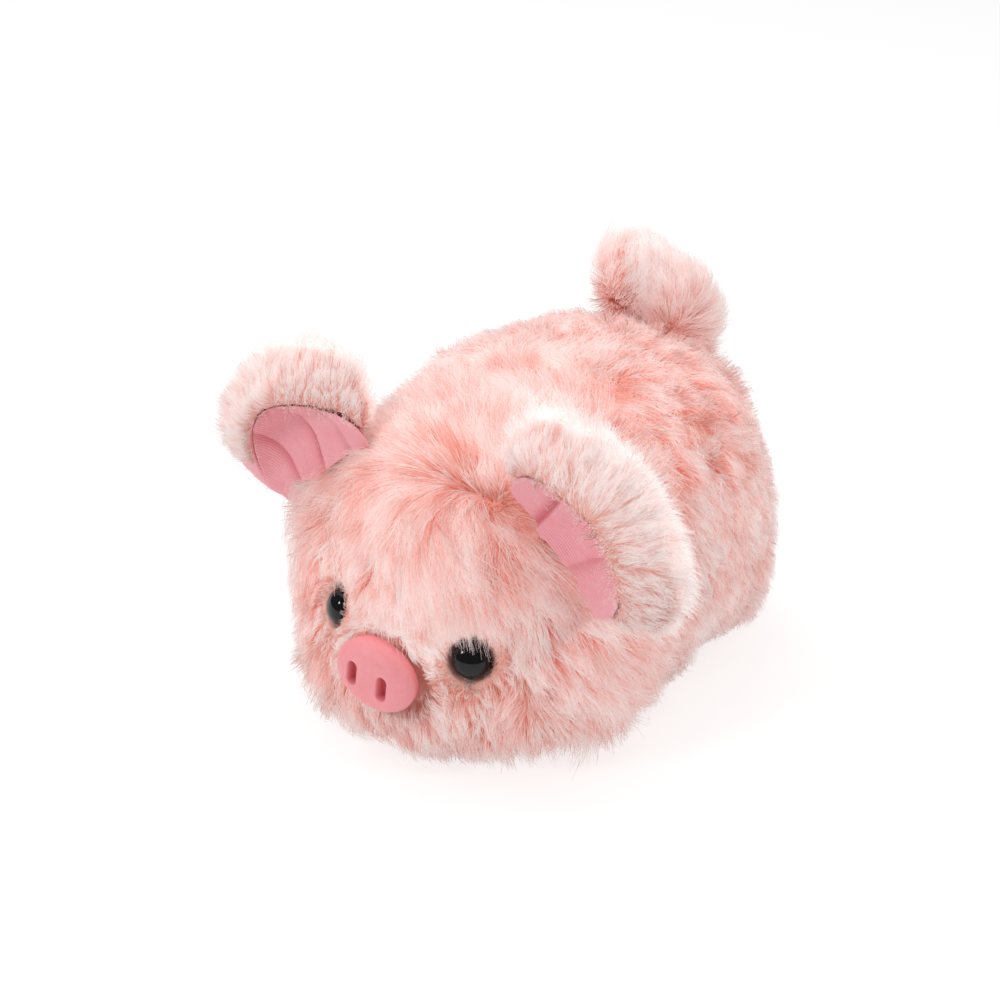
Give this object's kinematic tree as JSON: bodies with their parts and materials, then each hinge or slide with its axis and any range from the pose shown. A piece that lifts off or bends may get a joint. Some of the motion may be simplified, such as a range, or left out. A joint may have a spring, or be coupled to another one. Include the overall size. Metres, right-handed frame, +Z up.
{
  "type": "plush pig",
  "caption": "Plush pig lying on its belly, with long pink fur over filling, round lined ears, a curled tail, a moulded snout and glossy domed eyes",
  "frame": {"origin": "on the ground under the middle of the toy's length", "axes": "+Z up, the pig faces -Y, its left side is +X"},
  "size_m": [0.1692, 0.18, 0.1291],
  "materials": {
    "pink_fur": "long soft pile, coral at the roots and pale pink at the tips",
    "pale_fur": "long soft pile, nearly white at the tips",
    "rose_lining": "brushed knit with fine ribs",
    "snout_vinyl": "soft matte vinyl",
    "white_fibre": "loose polyester filling",
    "black_gloss": "polished black",
    "clear_plastic": "plain moulded"
  },
  "bodies": {
    "torso": {"head_side_left": "pink_fur", "head_side_right": "pink_fur", "head_gusset": "pink_fur", "body_side_left": "pink_fur", "body_side_right": "pink_fur", "belly_panel": "pink_fur", "head_filling": "white_fibre", "body_filling": "white_fibre", "snout": "snout_vinyl", "snout_washer": "clear_plastic", "eye_left": "black_gloss", "eye_right": "black_gloss", "eye_left_washer": "clear_plastic", "eye_right_washer": "clear_plastic"},
    "ear_left": {"ear_left_back": "pale_fur", "ear_left_lining": "rose_lining"},
    "ear_right": {"ear_right_back": "pale_fur", "ear_right_lining": "rose_lining"},
    "tail": {"tail_cover": "pink_fur", "tail_filling": "white_fibre"}
  },
  "joints": [
    {"name": "ear_left_flop", "type": "hinge", "parent": "torso", "child": "ear_left", "pos_m": [0.04484, -0.05421, 0.08015], "axis": [0.7145, 0, -0.6997], "range_deg": [-25, 40], "stiffness_Nm_per_rad": 0.03},
    {"name": "ear_right_flop", "type": "hinge", "parent": "torso", "child": "ear_right", "pos_m": [-0.04484, -0.05421, 0.08015], "axis": [0.7145, 0, 0.6997], "range_deg": [-25, 40], "stiffness_Nm_per_rad": 0.03},
    {"name": "tail_flop", "type": "hinge", "parent": "torso", "child": "tail", "pos_m": [0.01057, 0.06991, 0.09531], "axis": [1, 0, 0], "range_deg": [-15, 10], "stiffness_Nm_per_rad": 0.03}
  ]
}
